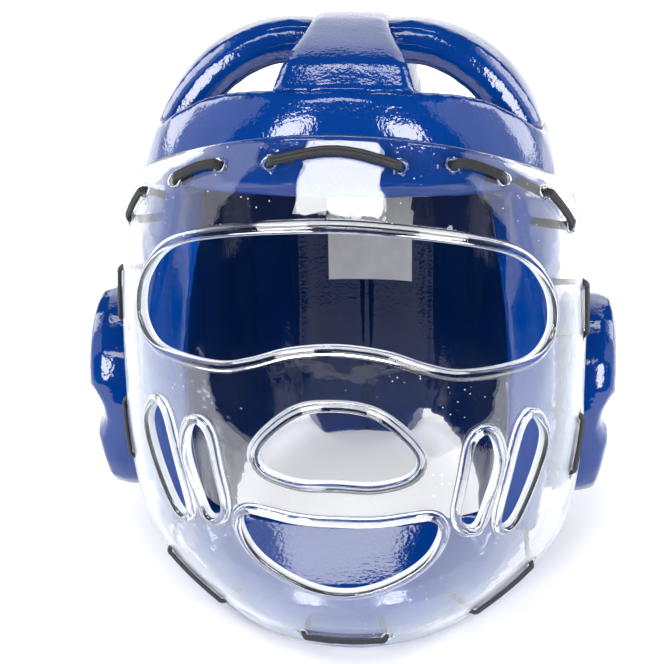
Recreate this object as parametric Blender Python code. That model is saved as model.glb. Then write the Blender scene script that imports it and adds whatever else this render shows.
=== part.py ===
"""Head guard with a laced face shield: dipped foam pads, ear guards, clear shield, elastic laces.

The script works in millimetres and writes metres. +Z is up, the face looks along -Y.
Azimuth is measured round the head's axis: 0 is the brow, 90 the wearer's side at +X, 180 the nape.
"""

import math

import bmesh
import bpy
import numpy as np
from mathutils import Vector
from mathutils.bvhtree import BVHTree
from mathutils.geometry import delaunay_2d_cdt

MM = 0.001
GAP = 0.3
# Between two foam pads, whose facets follow a curved seam differently
SEAM = 0.8

# Foam shell: the outer surface that all wall pads follow
SHELL_HEIGHT = 275.0
SHOULDER_HEIGHT = 160.0
SHELL_HALF_WIDTH = 95.0
SHELL_FRONT = 65.5
SHELL_REAR = 142.0
CHEEK_REACH = 55.0
AXIS_Y = -10.0
FOAM = 20.0
FOAM_EDGE = 5.0
BROW_EDGE = 9.0
PLAN_POWER = 2.3
REAR_PLAN_POWER = 2.6
SIDE_POWER = 2.5
FRONT_POWER = 5.0
REAR_POWER = 1.6

# Below the shoulder: height share of SHOULDER_HEIGHT, width share, rear share
LOWER_SHELL = (
    (0.00, 0.74, 1.020),
    (0.19, 0.90, 1.040),
    (0.38, 0.950, 1.050),
    (0.62, 1.00, 1.045),
    (1.00, 1.00, 1.000),
)

# Forehead band: azimuth, bottom and top as shares of SHELL_HEIGHT
BAND_END = 118.0
BAND_EDGES = (
    (0, 0.800, 0.978),
    (30, 0.797, 0.967),
    (57, 0.783, 0.941),
    (70, 0.765, 0.908),
    (85, 0.733, 0.848),
    (100, 0.700, 0.808),
    (118, 0.690, 0.785),
)

# Crown strap: share of its run from the brow to the nape, half width
STRAP_HALF_WIDTH = 31.0
STRAP_ROWS = ((0.0, 1.00), (0.12, 0.81), (0.25, 0.62), (0.42, 0.56), (0.62, 0.64), (0.82, 0.84), (1.0, 0.95))
STRAP_FRONT_AZIMUTH = 36.0
CROWN_FOAM = 18.0

# Crown arches: where they land on the band, and where they leave the strap
ARCH_FOOT_FRONT = 87.0
ARCH_FOOT_REAR = 117.0
ARCH_TOP_FRONT_Y = -2.0
ARCH_TOP_REAR_Y = 34.0

# Cheek walls: azimuth of the front edge, height of the seam on the jaw, lower edge of the side
CHEEK_FRONT_AZIMUTH = 60.0
CHEEK_FOOT = 50.0
SIDE_FOOT = 15.0

# Rear: side walls, nape panel and the top rim of both
NAPE_HALF_AZIMUTH = 15.0
REAR_RIM = 190.0
NOTCH_SHARE = 0.18
NOTCH_HEIGHT = 16.0

# Chin guard: plan half axes of its outer and inner faces, section heights
CHIN_INSET = 17.0
CHIN_THICKNESS = 15.0
CHIN_HALF_WIDTH = SHELL_HALF_WIDTH - CHIN_INSET
CHIN_REACH = 82.0
CHIN_INNER_HALF_WIDTH = CHIN_HALF_WIDTH - CHIN_THICKNESS
CHIN_INNER_REACH = 36.0
CHIN_FRONT_HEIGHT = 34.0
# Section of its front: share of the depth from the outer face, share of the height
CHIN_SECTION = (
    (0.96, 0.00),
    (0.56, 0.00),
    (0.30, 0.12),
    (0.10, 0.30),
    (0.00, 0.60),
    (0.02, 0.85),
    (0.12, 1.00),
    (0.88, 1.00),
    (0.99, 0.93),
    (1.00, 0.50),
    (1.00, 0.08),
)

# Ear guards: a lobed ring round an ear hole
EAR_Y = 12.0
EAR_Z = 84.0
EAR_HOLE_RADIUS = 17.0
EAR_HALF_HEIGHT = 50.0
EAR_HALF_WIDTH = 42.0
EAR_THICKNESS = 25.0
EAR_EDGE = 7.0
EAR_LOBES = 4
EAR_LOBE_SHARE = 0.07
EAR_WAIST_SHARE = 0.26
EAR_WAIST_RISE = 0.12
EAR_WAIST_SPAN = 0.42

# Face shield: a domed sheet
SHIELD_PROUD = 7.0
SHIELD_BELOW_CROWN = 35.0
SHIELD_WRAP = 31.5
SHIELD_HALF_WIDTH = SHELL_HALF_WIDTH + SHIELD_PROUD
SHIELD_HEIGHT = SHELL_HEIGHT - SHIELD_BELOW_CROWN
SHIELD_FOOT = 12.0
SHIELD_DEPTH = 82.0
SHIELD_SIDE_Y = AXIS_Y + SHIELD_WRAP - SHELL_FRONT
SHIELD_THICKNESS = 3.0
SHIELD_TURN = 2.6
SHIELD_SHIFT = 1.0
RIM_WIDTH = 3.4
RIM_HEIGHT = 1.6
# Row of the sheet: share of the run from foot to brow; middle: depth share, height share;
# side end: half width share, depth share, height share; angle that the row wraps through
SHIELD_ROWS = (
    (0.00, 0.66, 0.000, 0.56, 0.36, 0.028, 50),
    (0.08, 0.76, 0.060, 0.765, 0.20, 0.080, 65),
    (0.18, 0.85, 0.145, 0.915, 0.10, 0.155, 78),
    (0.28, 0.92, 0.245, 0.975, 0.05, 0.245, 85),
    (0.40, 0.98, 0.370, 1.00, 0.02, 0.355, 88),
    (0.52, 1.00, 0.495, 1.00, 0.01, 0.465, 90),
    (0.64, 0.95, 0.620, 1.00, 0.00, 0.577, 90),
    (0.76, 0.84, 0.745, 0.99, 0.00, 0.700, 88),
    (0.88, 0.65, 0.867, 0.95, 0.00, 0.818, 80),
    (0.95, 0.50, 0.945, 0.87, 0.03, 0.878, 68),
    (1.00, 0.385, 1.000, 0.73, 0.12, 0.915, 50),
)
# How far along the sheet one unit across and one unit up it reach, as shares of its sizes
ACROSS_RUN = 1.5
UP_RUN = 1.08

# Openings of the shield: points across and up the sheet, one half, from the middle line round
EYE_OPENING = (
    (0.00, 0.872), (0.20, 0.866), (0.38, 0.852), (0.52, 0.832), (0.60, 0.805), (0.655, 0.760),
    (0.668, 0.715), (0.645, 0.680), (0.575, 0.655), (0.46, 0.650), (0.33, 0.653), (0.24, 0.668),
    (0.13, 0.692), (0.00, 0.702),
)
NOSE_VENT = ((0.00, 0.590), (0.09, 0.580), (0.165, 0.543), (0.212, 0.500), (0.190, 0.468), (0.10, 0.453), (0.00, 0.456))
CHIN_VENT = (
    (0.00, 0.363), (0.11, 0.363), (0.20, 0.369), (0.262, 0.368), (0.288, 0.340), (0.262, 0.288),
    (0.20, 0.250), (0.10, 0.218), (0.00, 0.207),
)
# Side vents: whole outlines on the +X side
INNER_VENT = (
    (0.405, 0.530), (0.378, 0.510), (0.363, 0.450), (0.349, 0.380), (0.362, 0.348), (0.400, 0.338),
    (0.426, 0.385), (0.455, 0.465), (0.435, 0.518),
)
OUTER_VENT = (
    (0.575, 0.540), (0.543, 0.518), (0.512, 0.440), (0.488, 0.345), (0.510, 0.317), (0.550, 0.335),
    (0.612, 0.425), (0.637, 0.485), (0.612, 0.522),
)

# Laces: flat elastic, one stitch each, from hole to hole in the shield, with its bow up the sheet
LACE_WIDTH = 4.0
LACE_THICKNESS = 1.8
HOLE_RADIUS = 2.7
LACES = (
    ("top", -0.30, 0.962, 0.22, 0.962, 4.0),
    ("brow_left", -0.68, 0.928, -0.52, 0.957, 2.0),
    ("brow_right", 0.455, 0.968, 0.635, 0.948, 2.0),
    ("temple_left", -0.83, 0.900, -0.885, 0.838, 0.0),
    ("temple_right", 0.80, 0.922, 0.870, 0.852, 0.0),
    ("side_left", -0.92, 0.740, -0.92, 0.638, 0.0),
    ("side_right", 0.92, 0.740, 0.92, 0.638, 0.0),
    ("jaw_left", -0.90, 0.470, -0.85, 0.355, 0.0),
    ("jaw_right", 0.90, 0.470, 0.85, 0.355, 0.0),
    ("lower_left", -0.76, 0.175, -0.66, 0.065, 0.0),
    ("lower_right", 0.76, 0.175, 0.66, 0.065, 0.0),
    ("bottom", -0.22, 0.050, 0.22, 0.050, 0.0),
)

# Blank label inside the nape
LABEL_WIDTH = 42.0
LABEL_HEIGHT = 52.0
LABEL_THICKNESS = 0.6
LABEL_FOOT = 88.0
LABEL_X = 3.0


def clear_scene():
    for thing in list(bpy.data.objects):
        bpy.data.objects.remove(thing, do_unlink=True)


def material(name, colour, roughness, transmission=0.0):
    mat = bpy.data.materials.new(name)
    mat.use_nodes = True
    shader = mat.node_tree.nodes["Principled BSDF"]
    shader.inputs["Base Color"].default_value = (*colour, 1.0)
    shader.inputs["Roughness"].default_value = roughness
    shader.inputs["Metallic"].default_value = 0.0
    shader.inputs["Transmission Weight"].default_value = transmission
    mat.diffuse_color = (*colour, 1.0)
    return mat


def curve_value(rows, column, key):
    """A smooth value between a table's rows, at a key of its first column."""
    keys = [row[0] for row in rows]
    values = [row[column] for row in rows]
    last = len(rows) - 1
    low = min(max(sum(k <= key for k in keys) - 1, 0), last - 1)
    span = keys[low + 1] - keys[low]
    share = min(max((key - keys[low]) / span, 0.0), 1.0)

    def slope(i):
        before, after = max(i - 1, 0), min(i + 1, last)
        return (values[after] - values[before]) / (keys[after] - keys[before]) * span

    cubic, square = share ** 3, share ** 2
    return (
        (2 * cubic - 3 * square + 1) * values[low]
        + (cubic - 2 * square + share) * slope(low)
        + (3 * square - 2 * cubic) * values[low + 1]
        + (cubic - square) * slope(low + 1)
    )


def ease(value, start, end):
    share = min(max((value - start) / (end - start), 0.0), 1.0)
    return share * share * (3 - 2 * share)


def half_axes(height):
    """Half width, front and rear depth of the shell's plan at a height."""
    if height > SHOULDER_HEIGHT:
        rise = min((height - SHOULDER_HEIGHT) / (SHELL_HEIGHT - SHOULDER_HEIGHT), 0.9999)
        width = SHELL_HALF_WIDTH * (1 - rise ** SIDE_POWER) ** (1 / SIDE_POWER)
        front = SHELL_FRONT * (1 - rise ** FRONT_POWER) ** (1 / FRONT_POWER)
        rear = SHELL_REAR * (1 - rise ** REAR_POWER) ** (1 / REAR_POWER)
    else:
        share = max(height, 0.0) / SHOULDER_HEIGHT
        width = SHELL_HALF_WIDTH * curve_value(LOWER_SHELL, 1, share)
        front = SHELL_FRONT
        rear = SHELL_REAR * curve_value(LOWER_SHELL, 2, share)
    front += CHEEK_REACH * ease(height, SHOULDER_HEIGHT * 1.25, SHOULDER_HEIGHT * 0.8)
    return width, front, rear


def fullness(point):
    """Below 1 inside the shell's outer surface, above 1 outside it."""
    x, y, z = point
    if z >= SHELL_HEIGHT:
        return 2.0
    width, front, rear = half_axes(z)
    depth, power = (rear, REAR_PLAN_POWER) if y > AXIS_Y else (front, PLAN_POWER)
    return abs(x / width) ** power + abs((y - AXIS_Y) / depth) ** power


def surface(origin, direction):
    """Where a ray from inside the shell meets its outer surface."""
    direction = np.array(direction, float)
    direction /= np.linalg.norm(direction)
    near, far = 0.0, 2.0 * SHELL_HEIGHT
    for _ in range(36):
        middle = (near + far) / 2
        if fullness(origin + direction * middle) < 1:
            near = middle
        else:
            far = middle
    return origin + direction * near


def outward(point):
    """Outward direction of the shell at a surface point, level below the shoulder."""
    step = 0.2
    slopes = []
    for axis in range(3):
        ahead, behind = np.array(point), np.array(point)
        ahead[axis] += step
        behind[axis] -= step
        slopes.append(fullness(ahead) - fullness(behind))
    if point[2] < SHOULDER_HEIGHT:
        slopes[2] = 0.0
    slopes[2] *= ease(point[2], SHOULDER_HEIGHT, SHOULDER_HEIGHT * 1.3)
    direction = np.array(slopes)
    return direction / np.linalg.norm(direction)


def wall_point(azimuth, height):
    angle = math.radians(azimuth)
    return surface(np.array((0.0, AXIS_Y, height)), (math.sin(angle), -math.cos(angle), 0.0))


def crown_point(x, y):
    return surface(np.array((x, y, SHOULDER_HEIGHT * 0.6)), (0.0, 0.0, 1.0))


def corner_arc(centre, radius, start, count):
    """Points of a quarter circle, in section coordinates."""
    return [
        (
            centre[0] + radius * math.cos(start + math.pi / 2 * i / count),
            centre[1] + radius * math.sin(start + math.pi / 2 * i / count),
        )
        for i in range(count + 1)
    ]


def rounded_halves(width, depth, start_round, end_round, across=3, corner=2):
    """Outer and inner half of a rounded rectangle: (across, depth) pairs, matched by index."""
    first = min(start_round, depth / 2 - 0.5, width / 2 - 0.5)
    last = min(end_round, depth / 2 - 0.5, width / 2 - 0.5)
    middle = [first + (width - first - last) * i / across for i in range(1, across)]
    outer = [(first - a, first - b) for a, b in corner_arc((0, 0), first, 0, corner)]
    outer += [(x, 0.0) for x in middle]
    outer += [(width - last + b, last - a) for a, b in corner_arc((0, 0), last, 0, corner)]
    inner = [(x, depth - d) for x, d in outer]
    return outer, inner


def make_object(name, vertices, faces, mat):
    mesh = bpy.data.meshes.new(name)
    mesh.from_pydata([tuple(c * MM for c in v) for v in vertices], [], faces)
    work = bmesh.new()
    work.from_mesh(mesh)
    bmesh.ops.triangulate(work, faces=work.faces[:])
    bmesh.ops.recalc_face_normals(work, faces=work.faces[:])
    work.to_mesh(mesh)
    work.free()
    mesh.materials.append(mat)
    thing = bpy.data.objects.new(name, mesh)
    bpy.context.scene.collection.objects.link(thing)
    return thing


def loft(name, loops, mat, closed=False):
    """Close a solid through section loops; each loop is an outer half, then the inner half backwards."""
    count = len(loops[0])
    vertices = [point for loop in loops for point in loop]
    faces = []
    spans = len(loops) if closed else len(loops) - 1
    for i in range(spans):
        here, there = i * count, (i + 1) % len(loops) * count
        for j in range(count):
            k = (j + 1) % count
            faces.append((here + j, here + k, there + k, there + j))
    if not closed:
        for base in (0, (len(loops) - 1) * count):
            for j in range(count // 2 - 1):
                faces.append((base + j, base + j + 1, base + count - 2 - j, base + count - 1 - j))
    return make_object(name, vertices, faces, mat)


def pad(name, place, steps, depth, mat, start_round=FOAM_EDGE, end_round=FOAM_EDGE, across=3):
    """A foam pad on the shell: place(along, across) is its outer surface point, both from 0 to 1."""
    loops = []
    for i in range(steps + 1):
        along = i / steps
        line = [place(along, j / 8) for j in range(9)]
        width = sum(np.linalg.norm(b - a) for a, b in zip(line, line[1:]))
        halves = rounded_halves(width, depth, start_round, end_round, across)
        loop = []
        for half, order in zip(halves, (1, -1)):
            for run, deep in half[::order]:
                point = place(along, run / width)
                loop.append(point - outward(point) * deep)
        loops.append(loop)
    return loft(name, loops, mat)


def band_edge(azimuth, column):
    return SHELL_HEIGHT * curve_value(BAND_EDGES, column, abs(azimuth))


def band_place(along, across):
    azimuth = BAND_END * (2 * along - 1)
    low, high = band_edge(azimuth, 1), band_edge(azimuth, 2)
    return wall_point(azimuth, low + (high - low) * across)


def strap_half_width(along):
    return STRAP_HALF_WIDTH * curve_value(STRAP_ROWS, 1, along)


def strap_place(along, across):
    front = wall_point(
        STRAP_FRONT_AZIMUTH * (2 * across - 1),
        band_edge(STRAP_FRONT_AZIMUTH * (2 * across - 1), 2) + SEAM,
    )
    rear = wall_point(180 - NAPE_HALF_AZIMUTH * (2 * across - 1), REAR_RIM + SEAM)
    half = strap_half_width(along)
    x = half * (2 * across - 1)
    y = front[1] + (rear[1] - front[1]) * along
    if along == 0:
        return front
    if along == 1:
        return wall_point(180 - NAPE_HALF_AZIMUTH * 0.9 * (2 * across - 1), REAR_RIM + SEAM)
    return crown_point(x, y)


def strap_edge_x(y):
    """Half width of the strap where it crosses a given depth of the head."""
    front = strap_place(0.0, 0.5)[1]
    rear = strap_place(1.0, 0.5)[1]
    return strap_half_width((y - front) / (rear - front))


def arch_place(side):
    def place(along, across):
        top_y = ARCH_TOP_FRONT_Y + (ARCH_TOP_REAR_Y - ARCH_TOP_FRONT_Y) * across
        top = crown_point(strap_edge_x(top_y) + SEAM, top_y)
        azimuth = ARCH_FOOT_FRONT + (ARCH_FOOT_REAR - ARCH_FOOT_FRONT) * across
        foot = wall_point(azimuth, band_edge(azimuth, 2) + SEAM)
        if along == 1:
            return foot * (side, 1, 1)
        start = math.atan2(top[0], top[2] - SHOULDER_HEIGHT)
        end = math.atan2(foot[0], foot[2] - SHOULDER_HEIGHT)
        angle = start + (end - start) * along
        y = top[1] + (foot[1] - top[1]) * along
        origin = np.array((0.0, y, SHOULDER_HEIGHT))
        return surface(origin, (math.sin(angle), 0.0, math.cos(angle))) * (side, 1, 1)
    return place


def cheek_place(side):
    def place(along, across):
        azimuth = CHEEK_FRONT_AZIMUTH + (BAND_END - GAP - CHEEK_FRONT_AZIMUTH) * across
        low, high = CHEEK_FOOT, band_edge(azimuth, 1) - SEAM
        return wall_point(azimuth, low + (high - low) * along) * (side, 1, 1)
    return place


def rear_side_place(side):
    seam = math.degrees(GAP * 1.5 / SHELL_REAR)

    def place(along, across):
        start, end = BAND_END + seam, 180 - NAPE_HALF_AZIMUTH - seam
        azimuth = start + (end - start) * along
        high = band_edge(BAND_END, 2) + (REAR_RIM - band_edge(BAND_END, 2)) * along
        return wall_point(azimuth, SIDE_FOOT + (high - SIDE_FOOT) * across) * (side, 1, 1)
    return place


def nape_place(along, across):
    height = REAR_RIM * across
    pinch = 1 - NOTCH_SHARE * (1 - ease(height, 0, NOTCH_HEIGHT))
    return wall_point(180 - NAPE_HALF_AZIMUTH * pinch * (2 * along - 1), height)


def chin_radius(azimuth, half_width, reach, power):
    angle = math.radians(azimuth)
    across = abs(math.sin(angle) / half_width) ** power
    ahead = abs(math.cos(angle) / reach) ** power
    return (across + ahead) ** (-1 / power)


def chin_loop(azimuth):
    """One section of the chin guard: a deep pad in front that thins into the jaw walls."""
    turn = abs(azimuth)
    jaw = ease(turn, CHEEK_FRONT_AZIMUTH * 0.8, CHEEK_FRONT_AZIMUTH * 1.5)
    front_radius = chin_radius(azimuth, CHIN_HALF_WIDTH, CHIN_REACH, 2.0)
    inner_radius = chin_radius(azimuth, CHIN_INNER_HALF_WIDTH, CHIN_INNER_REACH, 3.0)
    thickness = (front_radius - inner_radius) * (1 - jaw) + FOAM * jaw
    seam = CHEEK_FOOT - GAP
    flat = ease(turn, CHEEK_FRONT_AZIMUTH * 0.85, CHEEK_FRONT_AZIMUTH * 0.97)
    outer_top = CHIN_FRONT_HEIGHT + (seam - CHIN_FRONT_HEIGHT) * flat
    bottom = SIDE_FOOT * ease(turn, CHEEK_FRONT_AZIMUTH * 0.8, CHEEK_FRONT_AZIMUTH * 1.5)
    angle = math.radians(azimuth)
    radial = np.array((math.sin(angle), -math.cos(angle), 0.0))
    axis = np.array((0.0, AXIS_Y, 0.0))
    loop = []
    for depth, rise in CHIN_SECTION:
        top = outer_top + (seam - outer_top) * depth
        height = bottom + (top - bottom) * rise
        wall = wall_point(azimuth, height)
        inward = radial * (1 - jaw) + outward(wall) * jaw
        inward /= np.linalg.norm(inward)
        outer = (axis + radial * front_radius) * (1 - jaw) + wall * jaw
        outer[2] = height
        loop.append(outer - inward * thickness * depth)
    return loop


def chin_guard(mat):
    steps = 32
    span = BAND_END - GAP
    loops = [chin_loop(span * (2 * i / steps - 1)) for i in range(steps + 1)]
    count = len(loops[0])
    vertices = [point for loop in loops for point in loop]
    faces = []
    for i in range(steps):
        for j in range(count):
            k = (j + 1) % count
            faces.append((i * count + j, i * count + k, (i + 1) * count + k, (i + 1) * count + j))
    faces.append(tuple(range(count)))
    faces.append(tuple(range(steps * count, steps * count + count)))
    return make_object("chin_guard", vertices, faces, mat)


def ear_guard(name, side, mat):
    loops = []
    steps = 24
    for i in range(steps):
        angle = 2 * math.pi * i / steps
        up, back = math.sin(angle), math.cos(angle)
        rim = 1 / math.hypot(up / EAR_HALF_HEIGHT, back / EAR_HALF_WIDTH)
        rim *= 1 - EAR_LOBE_SHARE * (0.5 + 0.5 * math.cos(EAR_LOBES * angle))
        thick = EAR_THICKNESS * (1 - EAR_WAIST_SHARE * ease(abs(up - EAR_WAIST_RISE), EAR_WAIST_SPAN, 0))
        width = rim - EAR_HOLE_RADIUS
        halves = rounded_halves(width, thick, EAR_EDGE, EAR_EDGE, 2)
        loop = []
        for half, order in zip(halves, (1, -1)):
            for run, deep in half[::order]:
                radius = EAR_HOLE_RADIUS + run
                y, z = EAR_Y + radius * back, EAR_Z + radius * up
                wall = surface(np.array((0.0, y, z)), (1.0, 0.0, 0.0))[0]
                inset = GAP + 0.2 + thick - deep
                loop.append(np.array((side * (wall + inset), y, z)))
        loops.append(loop)
    return loft(name, loops, mat, closed=True)


def drill_ear_hole(wall, side):
    """Cut the ear hole through a cheek wall with a hidden cylinder."""
    bpy.ops.mesh.primitive_cylinder_add(
        vertices=20,
        radius=EAR_HOLE_RADIUS * MM,
        depth=3 * FOAM * MM,
        location=(side * (SHELL_HALF_WIDTH - FOAM / 2) * MM, EAR_Y * MM, EAR_Z * MM),
        rotation=(0, math.pi / 2, 0),
    )
    cutter = bpy.context.object
    cut = wall.modifiers.new("ear_hole", "BOOLEAN")
    cut.object = cutter
    cut.operation = "DIFFERENCE"
    cut.solver = "EXACT"
    bpy.context.view_layer.objects.active = wall
    bpy.ops.object.modifier_apply(modifier=cut.name)
    bpy.data.objects.remove(cutter, do_unlink=True)


def shield_point(across, up):
    """Outer surface of the shield; across runs from -1 to 1, up from 0 to 1."""
    mid_depth, mid_rise, side_width, side_depth, side_rise, wrap = (
        curve_value(SHIELD_ROWS, column, up) for column in range(1, 7)
    )
    angle = math.radians(wrap)
    x = SHIELD_HALF_WIDTH * side_width * math.sin(angle * across) / math.sin(angle)
    share = (1 - math.cos(angle * across)) / (1 - math.cos(angle))
    depth = SHIELD_DEPTH * (mid_depth + (side_depth - mid_depth) * share)
    z = SHIELD_FOOT + SHIELD_HEIGHT * (mid_rise + (side_rise - mid_rise) * share)
    y = SHIELD_SIDE_Y - depth
    turn = math.radians(SHIELD_TURN)
    pivot = SHIELD_SIDE_Y - SHIELD_DEPTH / 2
    turned_x = x * math.cos(turn) - (y - pivot) * math.sin(-turn)
    turned_y = pivot + x * math.sin(-turn) + (y - pivot) * math.cos(turn)
    return np.array((turned_x + SHIELD_SHIFT, turned_y, z))


def shield_outward(across, up):
    step = 0.004
    low, high = max(up - step, 0.0), min(up + step, 1.0)
    left, right = max(across - step, -1.0), min(across + step, 1.0)
    along = shield_point(right, up) - shield_point(left, up)
    rise = shield_point(across, high) - shield_point(across, low)
    direction = np.cross(along, rise)
    return direction / np.linalg.norm(direction)


def sheet_xy(across, up):
    """Flat coordinates of the sheet in millimetres, for cutting its outline and openings."""
    return np.array((across * SHIELD_HALF_WIDTH * ACROSS_RUN, up * SHIELD_HEIGHT * UP_RUN))


def sheet_uv(flat):
    return flat[0] / (SHIELD_HALF_WIDTH * ACROSS_RUN), flat[1] / (SHIELD_HEIGHT * UP_RUN)


def closed_curve(points, count):
    """A smooth closed line through points, sampled evenly by point."""
    points = [np.array(p) for p in points]
    total = len(points)
    line = []
    for i in range(count):
        place = i * total / count
        k = int(place)
        t = place - k
        a, b, c, d = (points[(k + shift) % total] for shift in (-1, 0, 1, 2))
        line.append(0.5 * (2 * b + (c - a) * t + (2 * a - 5 * b + 4 * c - d) * t * t
                           + (3 * b - a - 3 * c + d) * t ** 3))
    return line


def mirrored_outline(half):
    """A whole outline from its half: the middle points are kept once."""
    return [sheet_xy(u, v) for u, v in half] + [sheet_xy(-u, v) for u, v in half[-2:0:-1]]


def shield_openings():
    openings = [
        ("eye", closed_curve(mirrored_outline(EYE_OPENING), 40)),
        ("nose", closed_curve(mirrored_outline(NOSE_VENT), 24)),
        ("chin", closed_curve(mirrored_outline(CHIN_VENT), 28)),
    ]
    for side in (-1, 1):
        for name, vent in (("inner", INNER_VENT), ("outer", OUTER_VENT)):
            outline = [sheet_xy(side * u, v) for u, v in vent]
            openings.append((name, closed_curve(outline, 16)))
    return openings


def flat_step(u, v, move):
    """The step in flat coordinates that moves a place on the sheet by a real step along it."""
    step = 0.01
    across = shield_point(min(u + step, 1.0), v) - shield_point(max(u - step, -1.0), v)
    up = shield_point(u, min(v + step, 1.0)) - shield_point(u, max(v - step, 0.0))
    flat_across = sheet_xy(min(u + step, 1.0) - max(u - step, -1.0), 0)[0]
    flat_up = sheet_xy(0, min(v + step, 1.0) - max(v - step, 0.0))[1]
    slopes = np.column_stack((across / flat_across, up / flat_up))
    return np.linalg.lstsq(slopes, move, rcond=None)[0]


def lace_holes():
    circles = []
    for name, u1, v1, u2, v2, bow in LACES:
        for u, v in ((u1, v1), (u2, v2)):
            out = shield_outward(u, v)
            level = np.cross(out, (0.0, 0.0, 1.0))
            level /= np.linalg.norm(level)
            rise = np.cross(out, level)
            circles.append([
                sheet_xy(u, v) + flat_step(u, v, HOLE_RADIUS * (level * math.cos(a) + rise * math.sin(a)))
                for a in np.arange(8) * math.pi / 4
            ])
    return circles


def grown(outline, distance):
    """An outline moved outwards by a distance."""
    total = len(outline)
    area = sum(a[0] * b[1] - a[1] * b[0] for a, b in zip(outline, outline[1:] + outline[:1]))
    sign = 1 if area > 0 else -1
    moved = []
    for i, point in enumerate(outline):
        along = outline[(i + 1) % total] - outline[i - 1]
        along /= np.linalg.norm(along)
        moved.append(point + sign * distance * np.array((along[1], -along[0])))
    return moved


def sheet_border():
    """Outline of the whole sheet, up its sides and across its edges."""
    ups = [0.05, 0.10, 0.16, 0.22, 0.28, 0.34, 0.40, 0.46, 0.52, 0.58, 0.64, 0.70, 0.76, 0.82, 0.87, 0.92, 0.96]
    acrosses = [i / 8 - 1 for i in range(17)]
    border = [sheet_xy(u, 0.0) for u in acrosses]
    border += [sheet_xy(1.0, v) for v in ups]
    border += [sheet_xy(-u, 1.0) for u in acrosses]
    border += [sheet_xy(-1.0, v) for v in reversed(ups)]
    return border


def inside(point, outline):
    x, y = point
    hit = False
    for a, b in zip(outline, outline[1:] + outline[:1]):
        if (a[1] > y) != (b[1] > y) and x < (b[0] - a[0]) * (y - a[1]) / (b[1] - a[1]) + a[0]:
            hit = not hit
    return hit


def face_shield(mat):
    border = sheet_border()
    vents = [line for name, line in shield_openings()]
    holes = lace_holes()
    rims = [grown(line, RIM_WIDTH) for line in vents]
    crests = [grown(line, RIM_WIDTH * 0.45) for line in vents]
    loops = [border] + vents + holes + rims + crests
    points = [tuple(p) for loop in loops for p in loop]
    edges = []
    first = 0
    for loop in loops:
        edges += [(first + i, first + (i + 1) % len(loop)) for i in range(len(loop))]
        first += len(loop)
    taken = np.array(points)
    for j in range(1, 16):
        for i in range(-10, 11):
            spot = sheet_xy(i / 10, j / 15)
            if np.linalg.norm(taken - spot, axis=1).min() > 7.0:
                points.append(tuple(spot))
    flat, _, triangles, *_ = delaunay_2d_cdt([Vector(p) for p in points], edges, [], 0, 1e-5)
    kept = []
    for triangle in triangles:
        middle = sum((flat[i] for i in triangle), Vector((0, 0))) / 3
        if inside(middle, border) and not any(inside(middle, hole) for hole in vents + holes):
            kept.append(tuple(triangle))
    lift = {}
    for loop in crests:
        for p in loop:
            lift[(round(p[0], 3), round(p[1], 3))] = RIM_HEIGHT
    for loop in vents:
        for p in loop:
            lift[(round(p[0], 3), round(p[1], 3))] = RIM_HEIGHT * 0.45
    front, back = [], []
    for spot in flat:
        u, v = sheet_uv(spot)
        u, v = min(max(u, -1.0), 1.0), min(max(v, 0.0), 1.0)
        out = shield_outward(u, v)
        place = shield_point(u, v)
        raised = lift.get((round(spot[0], 3), round(spot[1], 3)), 0.0)
        front.append(place + out * raised)
        back.append(place - out * SHIELD_THICKNESS)
    count = len(flat)
    faces = list(kept) + [tuple(count + i for i in reversed(t)) for t in kept]
    used = {}
    for t in kept:
        for a, b in zip(t, t[1:] + t[:1]):
            used[(a, b)] = True
    for a, b in used:
        if (b, a) not in used:
            faces.append((b, a, count + a, count + b))
    vertices = front + back
    named = sorted({i for face in faces for i in face})
    order = {old: new for new, old in enumerate(named)}
    return make_object(
        "face_shield",
        [vertices[i] for i in named],
        [tuple(order[i] for i in face) for face in faces],
        mat,
    )


def foam_tree(pads):
    """One search tree over the foam pads, to end a lace on the pad behind its hole."""
    vertices, faces = [], []
    for thing in pads:
        base = len(vertices)
        vertices += [tuple(v.co / MM) for v in thing.data.vertices]
        faces += [tuple(base + i for i in p.vertices) for p in thing.data.polygons]
    return BVHTree.FromPolygons(vertices, faces)


def lace_path(row, tree):
    """Centre line of a stitch with the sheet's outward direction at each point."""
    name, u1, v1, u2, v2, bow = row
    lift = GAP + LACE_THICKNESS / 2
    legs = []
    for u, v in ((u1, v1), (u2, v2)):
        out = shield_outward(u, v)
        start = shield_point(u, v)
        behind = start - out * (SHIELD_THICKNESS + GAP)
        place = np.array(tree.find_nearest(Vector(behind))[0])
        reach = np.linalg.norm(behind - place)
        if reach < 2 * LACE_WIDTH:
            end, behind = start - out * SHIELD_THICKNESS, start - out * SHIELD_THICKNESS * 0.5
        else:
            behind = behind - out * LACE_WIDTH / 2
            reach = np.linalg.norm(behind - place)
            end = place + (behind - place) * 2 * GAP / reach
        legs.append([(end, out), (behind, out), (start - out * 0.2, out)])
    steps = 5
    turn = LACE_THICKNESS * 0.65 / np.linalg.norm(shield_point(u2, v2) - shield_point(u1, v1))
    top = []
    for i in range(steps + 1):
        share = turn + (1 - 2 * turn) * i / steps
        u = u1 + (u2 - u1) * share
        v = v1 + (v2 - v1) * share + bow * math.sin(math.pi * share) / SHIELD_HEIGHT
        out = shield_outward(u, v)
        top.append((shield_point(u, v) + out * lift, out))
    return legs[0] + top + legs[1][::-1]


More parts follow.
